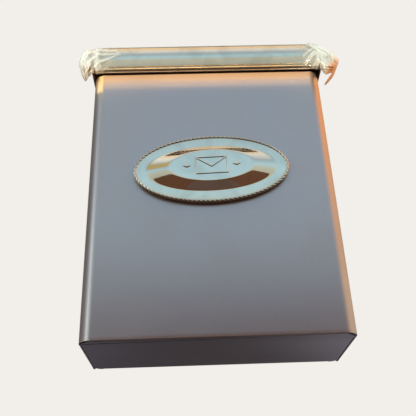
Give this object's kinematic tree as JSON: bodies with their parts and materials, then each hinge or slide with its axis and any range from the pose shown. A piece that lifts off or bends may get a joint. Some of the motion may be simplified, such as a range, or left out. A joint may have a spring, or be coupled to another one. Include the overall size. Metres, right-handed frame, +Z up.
{
  "type": "wall mounted mailbox",
  "caption": "Upright folded-steel wall mailbox with a rod-hinged sloping lid, a film-wrapped brass moulding on the lid's lip and an oval rope-edged plaque on the front.",
  "frame": {"origin": "on the wall plane, in the middle of the four wall holes in the back panel", "axes": "+Z up, +Y into the wall, so the front of the box faces -Y; +X to the right as seen from the front"},
  "size_m": [0.2736, 0.1143, 0.3353],
  "materials": {
    "bronze_enamel": "dark brown baked enamel over a fine orange-peel grain, satin gloss",
    "polished_brass": "polished and lacquered, mirror-like",
    "zinc_plate": "bright zinc plate, slightly dulled",
    "spring_steel": "phosphated spring steel",
    "clear_film": "thin clear protective film, crinkled and gathered at both ends"
  },
  "bodies": {
    "body": {"body_wrap": "bronze_enamel", "back_panel": "bronze_enamel", "bottom_panel": "bronze_enamel", "back_rivets_left": "zinc_plate", "back_rivets_right": "zinc_plate", "bottom_rivets": "zinc_plate", "hinge_rod": "zinc_plate", "hinge_cap_left": "zinc_plate", "hinge_cap_right": "zinc_plate", "plaque": "polished_brass", "plaque_push_nuts": "spring_steel"},
    "lid": {"lid_shell": "bronze_enamel", "lid_rivets_left": "zinc_plate", "lid_rivets_right": "zinc_plate", "trim_moulding": "polished_brass", "trim_studs": "polished_brass", "trim_push_nuts": "spring_steel", "protective_film": "clear_film"}
  },
  "joints": [
    {"name": "lid_hinge", "type": "hinge", "parent": "body", "child": "lid", "pos_m": [0, -0.012, 0.18835], "axis": [-1, 0, 0], "range_deg": [0, 104]}
  ]
}
